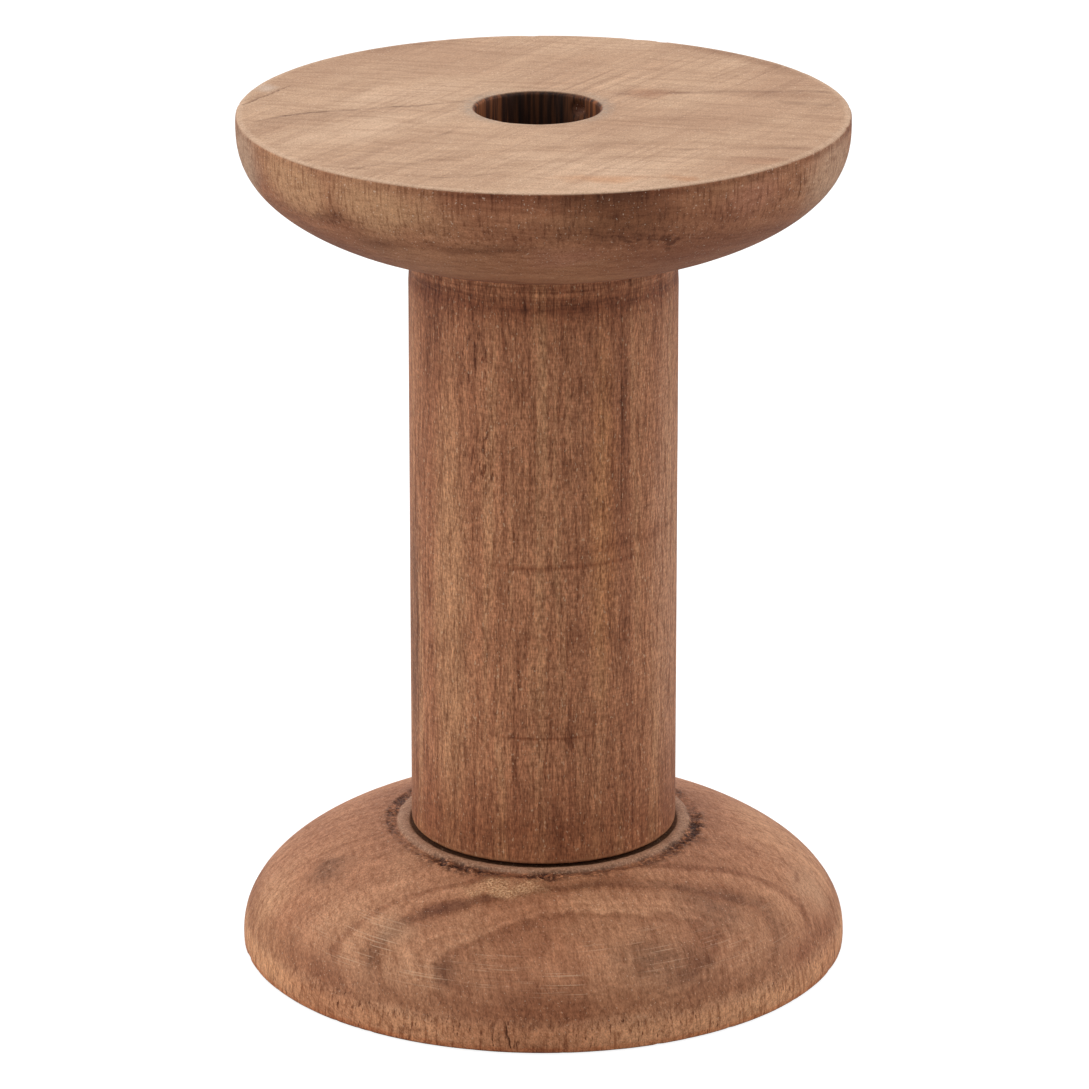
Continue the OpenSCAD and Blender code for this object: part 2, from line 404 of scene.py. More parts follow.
def barrel_displace(g):
    P, r, z, az, tag = g["P"], g["r"], g["prof_z"], g["az"], g["tag"]
    azd = np.degrees(az)
    side = ((tag == DOME) | (tag == RIM)) * 1.0
    cone = np.clip((z - Z_LO) / (Z_HI - Z_LO), 0, 1)
    # turned a touch thicker towards the foot
    d = side * (0.09 * (1 - cone) - 0.05 * (0.5 + 0.5 * fnoise(P, (18, 18, 60), 2, 301)) - 0.012 * (1 + vnoise(P, (1.3, 1.3, 9.0), 305)))
    # faint cutter ripple, stronger close to the top shoulder
    near_top = smooth(z, Z_HI - 7.5, Z_HI - 3)
    d = d - side * (0.004 + 0.02 * near_top) * (1 + np.sin(2 * np.pi * z / (0.95 - 0.1 * near_top)))
    # shallow worn ring a few millimetres under the top shoulder
    d = d - side * 0.11 * np.exp(-((z - (Z_HI - 4.8)) / 0.9) ** 2) * (0.75 + 0.25 * vnoise(P, 9.0, 310))
    d = d - side * 0.05 * np.exp(-((z - (Z_HI - 1.6)) / 0.35) ** 2)
    # fuzzy patches where the grain lifted
    fuzz = smooth(fnoise(P, (7.0, 7.0, 22.0), 2, 320), 0.05, 0.5)
    lifted = np.clip(fnoise(P, (0.7, 0.7, 2.6), 2, 322) - 0.05, 0, 1)
    d = d - side * 0.10 * fuzz * lifted
    # long upright split, thin and shallow
    line = [(34.2, 117.6), (34.9, 111.0), (34.5, 104.0), (35.0, 97.0), (34.7, 89.0), (34.9, 80.0)]
    dist, along = poly_distance(np.radians(azd) * R_BAR, z, [(math.radians(a) * R_BAR, b) for a, b in line])
    v = np.clip(1 - dist / (0.22 * (1.0 - 0.5 * along)), 0, 1) * side
    d = d - 0.10 * v
    # worn shoulders
    ringp = np.stack([np.sin(az) * R_BAR, np.cos(az) * R_BAR, (z > 70) * 40.0], -1)
    d = d - (tag == RIM) * 0.09 * (0.5 + 0.5 * fnoise(ringp, 2.0, 3, 330))
    wall = tag == BORE
    d = d + wall * (0.06 * vnoise(P, (0.9, 0.9, 20.0), 340) - 0.06)
    return d, np.zeros(P.shape), {"pit": np.clip(side * fuzz * lifted * 1.2, 0, 1), "crack": v * 0.6, "edge": (tag == RIM) * 1.0}


base = turned_piece(
    "base_flange_wood", flange_rings(R_BASE, T_BASE, 2.2),
    azimuths(400, [(-7.6, 2.6, 0.14), (34.4, 0.5, 0.13), (30.2, 0.5, 0.13)]),
    flange_displace(R_BASE, T_BASE, BASE_CRACKS, 100, False))
top = turned_piece(
    "top_flange_wood", flange_rings(R_TOP, T_TOP, 2.56),
    azimuths(400, [(54.5, 0.7, 0.13), (-107, 12, 0.42)]),
    flange_displace(R_TOP, T_TOP, TOP_CRACKS, 200, True), flip=True)
barrel = turned_piece(
    "barrel_wood", barrel_rings(), azimuths(400, [(34.7, 1.0, 0.16)]), barrel_displace)


# ---------------------------------------------------------------- node helper
class Graph:
    def __init__(self, name):
        self.mat = bpy.data.materials.new(name)
        self.mat.use_nodes = True
        self.tree = self.mat.node_tree
        self.tree.nodes.clear()
        self.out = self.new("ShaderNodeOutputMaterial")
        coord = self.new("ShaderNodeTexCoord")
        self.P = self.vmath("MULTIPLY", coord.outputs["Object"], (MM, MM, MM))   # millimetres
        xyz = self.new("ShaderNodeSeparateXYZ")
        self.put(xyz.inputs[0], self.P)
        self.x, self.y, self.z = xyz.outputs

    def new(self, kind, **props):
        n = self.tree.nodes.new(kind)
        for k, v in props.items():
            setattr(n, k, v)
        return n

    def put(self, socket, value):
        if isinstance(value, bpy.types.NodeSocket):
            self.tree.links.new(value, socket)
        elif value is not None:
            if hasattr(socket.default_value, "__len__") and not hasattr(value, "__len__"):
                value = (value,) * len(socket.default_value)
            if socket.type == "RGBA" and len(value) == 3:
                value = (*value, 1.0)
            socket.default_value = value

    def math(self, op, a, b=None, c=None, clamp=False):
        n = self.new("ShaderNodeMath", operation=op, use_clamp=clamp)
        for s, v in zip(n.inputs, (a, b, c)):
            self.put(s, v)
        return n.outputs[0]

    def vmath(self, op, a, b=None, scale=None):
        n = self.new("ShaderNodeVectorMath", operation=op)
        self.put(n.inputs[0], a)
        self.put(n.inputs[1], b)
        if scale is not None:
            self.put(n.inputs["Scale"], scale)
        return n.outputs["Value"] if op in ("DOT_PRODUCT", "LENGTH", "DISTANCE") else n.outputs["Vector"]

    def noise(self, vec, scale, detail=2.0, rough=0.5, dist=0.0, colour=False):
        n = self.new("ShaderNodeTexNoise", noise_dimensions="3D")
        self.put(n.inputs["Vector"], vec)
        self.put(n.inputs["Scale"], scale)
        self.put(n.inputs["Detail"], detail)
        self.put(n.inputs["Roughness"], rough)
        self.put(n.inputs["Distortion"], dist)
        return n.outputs["Color" if colour else "Fac"]

    def noise1(self, w, scale, detail=2.0, rough=0.5):
        n = self.new("ShaderNodeTexNoise", noise_dimensions="1D")
        self.put(n.inputs["W"], w)
        self.put(n.inputs["Scale"], scale)
        self.put(n.inputs["Detail"], detail)
        self.put(n.inputs["Roughness"], rough)
        return n.outputs["Fac"]

    def stretch(self, k, offset=(0, 0, 0)):
        """P with each axis scaled."""
        v = self.vmath("MULTIPLY", self.P, k)
        return self.vmath("ADD", v, offset) if any(offset) else v

    def along(self, u, keep, source=None):
        """P with its part along the unit vector u shrunk to keep: noise on it runs in fibres along u."""
        p = source or self.P
        a = self.vmath("DOT_PRODUCT", p, u)
        s = self.vmath("SCALE", u, scale=self.math("MULTIPLY", a, 1 - keep))
        return self.vmath("SUBTRACT", p, s)

    def span(self, v, a, b, lo=0.0, hi=1.0, kind="SMOOTHSTEP"):
        n = self.new("ShaderNodeMapRange", interpolation_type=kind)
        for s, val in zip(n.inputs, (v, a, b, lo, hi)):
            self.put(s, val)
        return n.outputs[0]

    def ramp(self, fac, stops, mode="LINEAR"):
        n = self.new("ShaderNodeValToRGB")
        r = n.color_ramp
        r.interpolation = mode
        while len(r.elements) < len(stops):
            r.elements.new(0.5)
        for e, (at, col) in zip(r.elements, stops):
            e.position = at
            e.color = (col, col, col, 1) if not hasattr(col, "__len__") else (*col, 1)
        self.put(n.inputs[0], fac)
        return n.outputs[0]

    def mix(self, fac, a, b, blend="MIX"):
        n = self.new("ShaderNodeMix", data_type="RGBA", blend_type=blend)
        n.clamp_factor = True
        self.put(n.inputs[0], fac)
        self.put(n.inputs[6], a)
        self.put(n.inputs[7], b)
        return n.outputs[2]

    def tint(self, col, fac, by):
        """col times by, as far as fac says."""
        return self.mix(fac, col, by, "MULTIPLY")

    def mul(self, *a):
        out = a[0]
        for b in a[1:]:
            out = self.math("MULTIPLY", out, b)
        return out

    def add(self, *a):
        out = a[0]
        for b in a[1:]:
            out = self.math("ADD", out, b)
        return out

    def value(self, name):
        n = self.new("ShaderNodeAttribute", attribute_name=name)
        return n.outputs["Fac"]

    def spot(self, p, centre, radii, soft=0.35):
        """1 inside an ellipsoid, fading to 0 at its edge."""
        d = self.vmath("SUBTRACT", p, centre)
        d = self.vmath("DIVIDE", d, radii)
        return self.span(self.vmath("LENGTH", d), 1.0, soft)

    def level(self, fac, low, high):
        """A noise value as a brightness multiplier between low and high."""
        return self.span(fac, 0.3, 0.7, low, high, "LINEAR")

    def finish(self, colour, rough, height=None, depth=0.03, spec=0.25):
        b = self.new("ShaderNodeBsdfPrincipled")
        self.put(b.inputs["Base Color"], colour)
        self.put(b.inputs["Roughness"], rough)
        b.inputs["Specular IOR Level"].default_value = spec
        if height is not None:
            k = self.new("ShaderNodeBump")
            k.inputs["Strength"].default_value = 1.0
            k.inputs["Distance"].default_value = depth / MM
            self.put(k.inputs["Height"], height)
            self.put(b.inputs["Normal"], k.outputs[0])
        self.tree.links.new(b.outputs[0], self.out.inputs[0])
        return self.mat


def unit(v):
    v = Vector(v).normalized()
    return (v.x, v.y, v.z)


def ring_distance(g, p, axis_point, u):
    """Distance from the tree's heart, the line through axis_point along u."""
    q = g.vmath("SUBTRACT", p, axis_point)
    a = g.vmath("DOT_PRODUCT", q, u)
    return g.vmath("LENGTH", g.vmath("SUBTRACT", q, g.vmath("SCALE", u, scale=a)))


def warp(g, p, scale, size, seed):
    n = g.noise(g.vmath("ADD", p, seed), scale, 2.0, 0.5, colour=True)
    return g.vmath("ADD", p, g.vmath("SCALE", g.vmath("SUBTRACT", n, (0.5, 0.5, 0.5)), scale=size))


def specks(g, p, scale, at=0.70, to=0.80):
    return g.span(g.noise(p, scale, 1.0, 0.5), at, to, 0, 1, "LINEAR")


# ---------------------------------------------------------------- lower flange
def base_material():
    g = Graph("flange_wood_lower")
    u = unit((-0.224, 0.778, 0.588))
    pw = warp(g, g.P, 0.10, 0.9, (3.0, 7.0, 1.0))
    pw = warp(g, pw, 0.7, 0.55, (9.0, 2.0, 5.0))
    rho = ring_distance(g, pw, (0.0, 9.479, -76.789), u)
    rad = g.vmath("LENGTH", g.vmath("MULTIPLY", g.P, (1, 1, 0)))
    w = warp(g, g.P, 0.16, 6.0, (1.0, 4.0, 8.0))
    # tone over the whole flange
    broad = g.noise(g.along(u, 0.45), 0.045, 2.0, 0.5)
    col = g.ramp(broad, [(0.30, (0.345, 0.145, 0.072)), (0.48, (0.425, 0.192, 0.099)), (0.66, (0.50, 0.250, 0.134))])
    left = g.spot(w, (-47.0, -18.0, 6.0), (19, 22, 12), 0.1)
    col = g.tint(col, left, (1.10, 1.14, 1.12))
    # growth rings: three strong lines over the front, the rest drawn by slow noise over the radius
    t = g.span(rho, 90, 110, 0, 1, "LINEAR")
    lines = g.ramp(t, [
        (0.0, 1.0), (0.430, 1.0), (0.441, (0.56, 0.43, 0.36)), (0.453, (0.70, 0.60, 0.54)), (0.464, 1.0), (0.50, 1.03),
        (0.517, (0.72, 0.64, 0.58)), (0.533, (0.40, 0.31, 0.25)), (0.546, (0.46, 0.37, 0.31)), (0.558, (0.84, 0.80, 0.77)), (0.60, 1.0), (0.628, 1.0),
        (0.638, (0.54, 0.43, 0.37)), (0.652, (0.80, 0.74, 0.71)), (0.69, (0.90, 0.86, 0.84)), (0.705, (0.78, 0.71, 0.67)), (0.73, (0.88, 0.84, 0.82)), (0.80, (0.84, 0.79, 0.76)), (1.0, (0.82, 0.77, 0.74))])
    upper = g.span(g.add(g.z, g.mul(g.noise(g.P, 0.2, 2.0, 0.5), 2.0)), 8.9, 11.4)
    fade = g.mul(g.level(g.noise(g.vmath("ADD", g.P, (30, 0, 0)), 0.13, 3.0, 0.6), 0.35, 1.0), upper)
    col = g.tint(col, fade, lines)
    bdark = g.spot(w, (-15.5, -32.0, 17.6), (7.5, 4.0, 3.0), 0.2)
    bline = g.mul(bdark, g.span(g.math("ABSOLUTE", g.math("SUBTRACT", rho, 100.75)), 0.75, 0.15))
    col = g.tint(col, g.mul(bline, 0.75), (0.55, 0.44, 0.40))
    years = g.noise1(rho, 0.55, 3.0, 0.6)
    col = g.tint(col, g.span(g.z, 5.0, 9.0, 0.35, 1.0), g.ramp(years, [(0.30, (0.80, 0.73, 0.68)), (0.44, 1.0), (0.50, (0.88, 0.84, 0.81)), (0.56, 1.02), (0.75, 1.08)]))
    # fibres
    fib = g.noise(g.along(u, 0.12, pw), 1.15, 3.0, 0.62)
    col = g.mix(1.0, col, g.ramp(fib, [(0.34, (0.78, 0.71, 0.67)), (0.5, 1.0), (0.66, 1.16)]), "MULTIPLY")
    # scorched band low on the dome, and upright striation on the band below it; the lowest few millimetres are painted
    # lighter as light bounced up from the floor
    wave = g.add(g.z, g.mul(g.noise(g.P, 0.09, 3.0, 0.6), 4.4), -2.2)
    burnt = g.ramp(g.span(wave, 2, 12, 0, 1, "LINEAR"), [(0.0, 1.0), (0.28, 1.0), (0.42, (0.70, 0.59, 0.52)), (0.56, (0.66, 0.55, 0.48)), (0.70, (0.84, 0.78, 0.74)), (0.82, 1.0)], "EASE")
    col = g.tint(col, g.level(g.noise(g.vmath("ADD", g.P, (0, 60, 0)), 0.07, 2.0, 0.5), 0.45, 1.0), burnt)
    # painted light: the flange's lowest few millimetres are coloured lighter to stand in for light bounced up from the
    # floor
    low = g.span(g.z, 5.4, 3.2)
    col = g.tint(col, low, (1.26, 1.26, 1.22))
    band = g.span(g.z, 10.0, 4.5)
    stri = g.noise(g.stretch((1.0, 1.0, 0.13)), 2.0, 3.0, 0.62)
    col = g.tint(col, band, g.ramp(stri, [(0.36, (0.66, 0.56, 0.49)), (0.46, 0.98), (0.64, 1.17)]))
    ticks = g.span(g.noise(g.stretch((1.0, 1.0, 0.20), (9, 0, 0)), 2.6, 1.0, 0.5), 0.655, 0.70)
    col = g.tint(col, g.mul(ticks, g.span(g.z, 6.6, 4.8), g.span(g.noise(g.P, 0.12, 1.0, 0.5), 0.42, 0.56)), (0.36, 0.26, 0.21))
    # places
    smoke_n = g.noise(g.stretch((0.5, 1.0, 1.0)), 0.5, 4.0, 0.65)
    smoky = g.math("MAXIMUM", g.spot(w, (19.5, -41.0, 12.2), (14, 8, 6), 0.1), g.spot(w, (28.5, -28.5, 15.6), (9, 8, 5), 0.1))
    smoky = g.math("MAXIMUM", smoky, g.mul(g.spot(w, (-16.3, -43.3, 11.4), (4.0, 4.0, 4.0), 0.1), 0.8))
    col = g.tint(col, g.mul(smoky, g.level(smoke_n, 0.35, 1.0)), (0.56, 0.56, 0.57))
    smudge = g.spot(w, (-35.6, -12.4, 16.8), (7.5, 7.5, 5), 0.05)
    col = g.tint(col, g.mul(smudge, g.level(smoke_n, 0.5, 1.0)), (0.50, 0.48, 0.47))
    red = g.math("MAXIMUM", g.spot(w, (43.0, -24.5, 7.4), (6, 9, 4), 0.1), g.mul(g.spot(w, (-42.9, -18.5, 10.6), (6, 8, 5), 0.1), 0.7))
    col = g.tint(col, g.mul(red, 0.8), (0.82, 0.70, 0.66))
    tan = g.math("MAXIMUM", g.spot(w, (44.5, -9.0, 12.0), (6, 9, 6), 0.1), g.spot(w, (-25.0, -33.5, 14.6), (6, 5, 3), 0.1))
    col = g.mix(g.mul(tan, 0.5), col, (0.50, 0.285, 0.165))
    short = g.spot(w, (42.5, -7.6, 13.5), (2.2, 3.5, 0.7), 0.1)
    col = g.tint(col, short, (0.60, 0.52, 0.48))
    gold = g.spot(w, (-8.0, -28.4, 20.0), (11.0, 3.2, 1.8), 0.3)
    grit = g.noise(g.P, 2.6, 3.0, 0.7)
    col = g.mix(g.mul(gold, 0.8), col, g.ramp(grit, [(0.36, (0.30, 0.135, 0.06)), (0.5, (0.54, 0.285, 0.145)), (0.62, (0.86, 0.55, 0.31))]))
    # foot: painted shade darkens the flange towards the barrel's foot; the bead is smooth and light, the groove is
    # torn and dark
    foot = g.span(rad, 33.0, 26.0)
    col = g.tint(col, g.mul(foot, 0.45), (0.74, 0.68, 0.64))
    bead = g.mul(g.span(rad, 25.0, 24.4), g.span(g.z, 20.4, 21.0))
    col = g.mix(g.mul(bead, 0.7), col, g.ramp(grit, [(0.34, (0.27, 0.145, 0.088)), (0.52, (0.42, 0.245, 0.155)), (0.66, (0.58, 0.37, 0.25))]))
    torn = g.value("torn")
    fur = g.noise(g.P, 1.7, 4.0, 0.7)
    col = g.mix(torn, col, g.tint(col, 1.0, g.ramp(fur, [(0.40, (0.16, 0.11, 0.09)), (0.50, (0.52, 0.43, 0.37)), (0.56, (1.0, 0.96, 0.92)), (0.66, (1.45, 1.40, 1.30))])))
    col = g.tint(col, g.value("pit"), (0.30, 0.23, 0.19))
    # hidden joint: dark in the gap under the barrel
    gap = g.span(rad, 22.7, 22.2)
    col = g.tint(col, g.mul(gap, g.span(g.z, 19.0, 20.0)), (0.35, 0.28, 0.22))
    # fine speckle
    fine = g.noise(g.along(u, 0.45), 3.9, 2.0, 0.65)
    col = g.mix(1.0, col, g.ramp(fine, [(0.33, (0.72, 0.67, 0.63)), (0.5, 1.0), (0.68, 1.25)]), "MULTIPLY")
    col = g.mix(g.mul(specks(g, g.P, 2.9, 0.68, 0.76), 0.45), col, (0.74, 0.52, 0.36))
    # scratches from coarse paper held against the turning dome: level circles
    lat = g.math("SUBTRACT", rad, g.z)
    az = g.math("ARCTAN2", g.x, g.math("MULTIPLY", g.y, -1.0))
    lv = g.new("ShaderNodeCombineXYZ")
    g.put(lv.inputs[0], g.add(lat, g.mul(g.noise(g.P, 0.3, 1.0, 0.5), 0.25)))
    g.put(lv.inputs[1], g.math("MULTIPLY", az, 1.3))
    scr = g.noise(lv.outputs[0], 2.7, 2.0, 0.6)
    where = g.mul(g.span(g.z, 8.2, 9.6), g.span(g.z, 17.5, 14.0), g.span(g.y, -18.0, -27.0), g.span(g.noise(g.P, 0.10, 2.0, 0.5), 0.38, 0.58, 0.15, 1.0))
    scratch = g.mul(g.span(scr, 0.585, 0.66), where)
    col = g.mix(g.mul(scratch, 0.42), col, (0.72, 0.48, 0.31))
    col = g.tint(col, g.mul(g.span(scr, 0.40, 0.34), where, 0.5), (0.62, 0.52, 0.46))
    # splits coloured dark, and a rubbed reddish lower edge over a dark underside
    col = g.tint(col, g.value("crack"), (0.17, 0.11, 0.09))
    edge_n = g.level(g.noise(g.P, 0.35, 2.0, 0.6), 0.35, 1.0)
    col = g.tint(col, g.mul(g.span(g.z, 1.5, 0.7), edge_n), (0.84, 0.62, 0.48))
    col = g.tint(col, g.span(g.z, 0.42, 0.12), (0.42, 0.34, 0.30))
    # painted shade: the drilled hole's wall is coloured near black
    br = g.vmath("DISTANCE", g.vmath("MULTIPLY", g.P, (1, 1, 0)), (BORE_X, BORE_Y, 0))
    wall = g.span(br, 10.8, 10.3)
    bores = g.noise(g.stretch((1, 1, 0.05)), 0.9, 3.0, 0.6)
    col = g.mix(wall, col, g.ramp(bores, [(0.35, (0.045, 0.018, 0.010)), (0.65, (0.16, 0.06, 0.025))]))
    rough = g.span(fib, 0.3, 0.7, 0.72, 0.56, "LINEAR")
    height = g.add(g.mul(fine, 1.0), g.mul(fib, 0.5), g.mul(stri, g.mul(band, 1.6)), g.mul(scratch, 0.6), g.mul(fur, g.mul(torn, 6.0)), g.mul(grit, g.mul(gold, 2.5)), g.mul(ticks, g.mul(band, -1.0)))
    return g.finish(col, rough, height, 0.035)


# ---------------------------------------------------------------- upper flange
def path(g, x, pts):
    """A value that follows a line of (x, value) points."""
    x0, x1 = pts[0][0], pts[-1][0]
    lo, hi = min(p[1] for p in pts), max(p[1] for p in pts)
    r = g.ramp(g.span(x, x0, x1, 0, 1, "LINEAR"), [((a - x0) / (x1 - x0), (b - lo) / (hi - lo)) for a, b in pts])
    return g.math("ADD", g.math("MULTIPLY", r, hi - lo), lo)


def streak(g, x, y, pts, half):
    """1 on a line that runs across the piece, fading to 0 at half its width and at its ends."""
    m = g.span(g.math("ABSOLUTE", g.math("SUBTRACT", y, path(g, x, pts))), half, half * 0.1)
    return g.mul(m, g.span(x, pts[0][0] - 1.0, pts[0][0] + 1.5), g.span(x, pts[-1][0] + 1.0, pts[-1][0] - 1.5))


def top_material():
    g = Graph("flange_wood_upper")
    u = unit((0.965, -0.20, 0.04))
    pw = warp(g, g.P, 0.055, 3.0, (5.0, 1.0, 2.0))
    pw = warp(g, pw, 0.45, 0.7, (2.0, 8.0, 3.0))
    rho = g.vmath("LENGTH", g.vmath("MULTIPLY", g.vmath("SUBTRACT", pw, (20.0, -90.0, H)), (1, 1, 2.6)))
    face = g.span(g.z, H - 0.42, H - 0.12)
    rad = g.vmath("LENGTH", g.vmath("MULTIPLY", g.P, (1, 1, 0)))
    w = warp(g, g.P, 0.16, 5.0, (6.0, 3.0, 1.0))
    # ---- side: red-brown, turned
    nrm = unit((0.05, math.sin(math.radians(11.5)), math.cos(math.radians(11.5))))
    broad = g.noise(g.stretch((0.6, 0.6, 1.6)), 0.05, 2.0, 0.5)
    side = g.ramp(broad, [(0.30, (0.28, 0.106, 0.052)), (0.48, (0.35, 0.147, 0.073)), (0.68, (0.42, 0.200, 0.103))])
    years = g.noise1(g.vmath("DOT_PRODUCT", pw, nrm), 0.42, 3.0, 0.6)
    side = g.tint(side, 1.0, g.ramp(years, [(0.30, (0.78, 0.70, 0.65)), (0.45, 1.0), (0.52, (0.90, 0.85, 0.82)), (0.60, 1.0), (0.75, 1.08)]))
    zt = H - 144.4
    gold = g.math("MAXIMUM", g.spot(w, (-25.5, -42.0, 140.0 + zt), (17, 12, 6.5), 0.25), g.spot(w, (-39.5, -30.5, 140.6 + zt), (13, 14, 6.5), 0.25))
    side = g.mix(g.mul(gold, 0.85), side, (0.50, 0.272, 0.142))
    grey = g.spot(w, (-48.0, -13.0, 140.0 + zt), (6, 14, 10), 0.3)
    side = g.mix(g.mul(grey, 0.8), side, (0.46, 0.295, 0.195))
    right = g.spot(w, (46.5, -18.0, 139.0 + zt), (10, 17, 10), 0.3)
    side = g.mix(g.mul(right, 0.8), side, (0.49, 0.300, 0.190))
    smear = g.math("MAXIMUM", g.spot(w, (-33.5, -36.0, 136.4 + zt), (7, 7, 2.4), 0.1), g.spot(w, (-26.5, -39.5, 133.8 + zt), (8, 7, 2.2), 0.1))
    smear = g.math("MAXIMUM", smear, g.spot(w, (-9.0, -46.4, 134.6 + zt), (15, 8, 1.7), 0.1))
    side = g.tint(side, g.mul(smear, 0.75), (0.62, 0.57, 0.53))
    dark = g.spot(w, (12.0, -48.5, 140.0 + zt), (15.0, 12, 6.5), 0.15)
    side = g.tint(side, g.mul(dark, 0.9), (0.62, 0.57, 0.50))
    dark2 = g.spot(w, (9.0, -49.0, 143.0 + zt), (14.0, 10, 2.2), 0.1)
    side = g.tint(side, g.mul(dark2, 0.7), (0.56, 0.50, 0.44))
    blot = g.span(g.noise(g.stretch((1, 1, 1.4), (3, 0, 0)), 0.42, 2.0, 0.5), 0.56, 0.64)
    where = g.math("MAXIMUM", g.spot(w, (17.0, -44.5, 134.9 + zt), (16, 9, 3.4), 0.2), g.mul(g.spot(w, (0, 0, 131.0 + zt), (60, 60, 6.0), 0.2), 0.35))
    side = g.tint(side, g.mul(blot, where), (0.56, 0.48, 0.42))
    rosy = g.math("MAXIMUM", g.spot(w, (33.0, -37.5, 140.0 + zt), (9, 8, 4.5), 0.2), g.spot(w, (3.5, -46.5, 132.8 + zt), (9, 7, 3.2), 0.2))
    side = g.mix(g.mul(rosy, 0.55), side, (0.41, 0.175, 0.105))
    band = g.span(g.z, 130.5 + zt, 137.5 + zt)
    stri = g.noise(g.stretch((1.0, 1.0, 0.13)), 2.0, 3.0, 0.62)
    side = g.tint(side, band, g.ramp(stri, [(0.36, (0.68, 0.59, 0.53)), (0.46, 0.98), (0.64, 1.17)]))
    fib_s = g.noise(g.stretch((0.35, 0.35, 1.6)), 0.9, 3.0, 0.62)
    side = g.mix(0.8, side, g.ramp(fib_s, [(0.34, (0.78, 0.71, 0.67)), (0.5, 1.0), (0.66, 1.12)]), "MULTIPLY")
    # dark line right under the face's edge, at the front
    under_edge_line = g.mul(g.span(g.z, H - 2.0, H - 0.7), g.span(g.x, -26.0, -8.0, 0.35, 1.0))
    side = g.tint(side, g.mul(under_edge_line, g.level(g.noise(g.P, 0.5, 2.0, 0.6), 0.45, 1.0)), (0.60, 0.49, 0.42))
    # painted shade under the flange, darker towards the barrel
    under = g.mul(g.span(rad, 36.0, 24.0), g.span(g.z, H - 16.0, H - 19.0))
    side = g.tint(side, g.mul(under, 0.45), (0.78, 0.70, 0.64))
    bead = g.mul(g.span(rad, 25.0, 24.4), g.span(g.z, H - T_TOP + 1.0, H - T_TOP + 0.4))
    side = g.mix(g.mul(bead, 0.7), side, (0.42, 0.245, 0.155))
    torn = g.value("torn")
    fur = g.noise(g.P, 1.7, 4.0, 0.7)
    side = g.mix(torn, side, g.tint(side, 1.0, g.ramp(fur, [(0.40, (0.20, 0.14, 0.11)), (0.50, (0.60, 0.50, 0.44)), (0.56, (1.0, 0.96, 0.92)), (0.66, (1.35, 1.30, 1.22))])))
    side = g.tint(side, g.value("pit"), (0.30, 0.23, 0.20))
    # ---- face: pale, sanded across saw marks
    fbroad = g.noise(g.along(unit((0.5, 0.86, 0)), 0.5), 0.05, 3.0, 0.55)
    top_c = g.ramp(fbroad, [(0.32, (0.42, 0.248, 0.152)), (0.5, (0.485, 0.304, 0.192)), (0.68, (0.55, 0.362, 0.240))])
    t = g.span(rho, 50, 110, 0, 1, "LINEAR")
    arcs = g.ramp(t, [
        (0.0, 1.0), (0.16, 1.0), (0.195, (0.84, 0.80, 0.77)), (0.22, 1.0), (0.30, (0.96, 0.94, 0.93)), (0.33, (0.80, 0.75, 0.71)),
        (0.36, 1.0), (0.50, 1.0), (0.545, (0.90, 0.87, 0.84)), (0.58, 1.0), (0.80, 1.0), (0.83, (0.94, 0.92, 0.91)),
        (0.862, (0.82, 0.77, 0.74)), (0.885, (0.93, 0.91, 0.90)), (0.93, 1.0)])
    afade = g.level(g.noise(g.P, 0.06, 2.0, 0.5), 0.2, 1.0)
    top_c = g.tint(top_c, afade, arcs)
    fib_f = g.noise(g.along(u, 0.08, pw), 0.9, 3.0, 0.6)
    top_c = g.mix(1.0, top_c, g.ramp(fib_f, [(0.34, (0.86, 0.82, 0.79)), (0.5, 1.0), (0.66, 1.07)]), "MULTIPLY")
    d = unit((math.cos(math.radians(58)), math.sin(math.radians(58)), 0))
    saw = g.noise(g.along(d, 0.03), 1.3, 3.0, 0.6)
    saw_w = g.math("MAXIMUM", g.level(g.noise(g.P, 0.05, 2.0, 0.5), 0.15, 0.8), g.spot(w, (11.0, 16.0, H), (20, 18, 6), 0.3))
    top_c = g.tint(top_c, saw_w, g.ramp(saw, [(0.36, (0.80, 0.75, 0.72)), (0.47, 1.0), (0.53, 1.0), (0.64, 1.14)]))
    # streaks along the layers
    wl = warp(g, g.P, 0.35, 1.5, (1.0, 1.0, 6.0))
    sp = g.new("ShaderNodeSeparateXYZ")
    g.put(sp.inputs[0], wl)
    X, Y = sp.outputs[0], sp.outputs[1]
    dash = g.level(g.noise(g.stretch((0.5, 0.5, 0.5)), 0.6, 2.0, 0.6), 0.2, 1.0)
    s1 = streak(g, X, Y, [(-46.6, -7.0), (-38.0, -1.4), (-29.6, 0.3), (-24.0, 2.3), (-21.0, 2.4), (-12.5, 5.9)], 0.75)
    s1b = streak(g, X, Y, [(-46.6, -8.5), (-38.0, -4.2), (-29.6, -2.6), (-20.0, -0.9), (-13.0, 1.2)], 3.6)
    top_c = g.tint(top_c, g.mul(dash, s1), (0.48, 0.42, 0.38))
    top_c = g.tint(top_c, g.mul(dash, s1b, 0.55), (0.74, 0.69, 0.66))
    rs = streak(g, X, Y, [(12.0, 10.2), (20.0, 10.6), (28.0, 11.7), (45.8, 11.7), (48.4, 9.6)], 1.3)
    rs2 = streak(g, X, Y, [(38.0, 5.2), (44.6, 3.6), (48.5, 3.2)], 1.5)
    top_c = g.tint(top_c, g.mul(dash, g.math("MAXIMUM", rs, rs2), 0.75), (0.58, 0.52, 0.49))
    lf = streak(g, X, Y, [(-38.0, -31.2), (-31.2, -27.6), (-31.0, -36.3), (-25.4, -33.0), (-20.4, -32.8), (-17.6, -29.9), (-17.4, -40.9), (-12.0, -40.3), (-5.5, -37.2)], 0.95)
    rl = streak(g, X, Y, [(20.0, -24.4), (31.0, -23.4), (43.0, -23.4)], 1.2)
    top_c = g.tint(top_c, g.mul(dash, g.math("MAXIMUM", lf, rl), 0.62), (0.62, 0.55, 0.51))
    ml = g.spot(wl, (-15.7, -14.6, H), (3.6, 3.6, 4), 0.2)
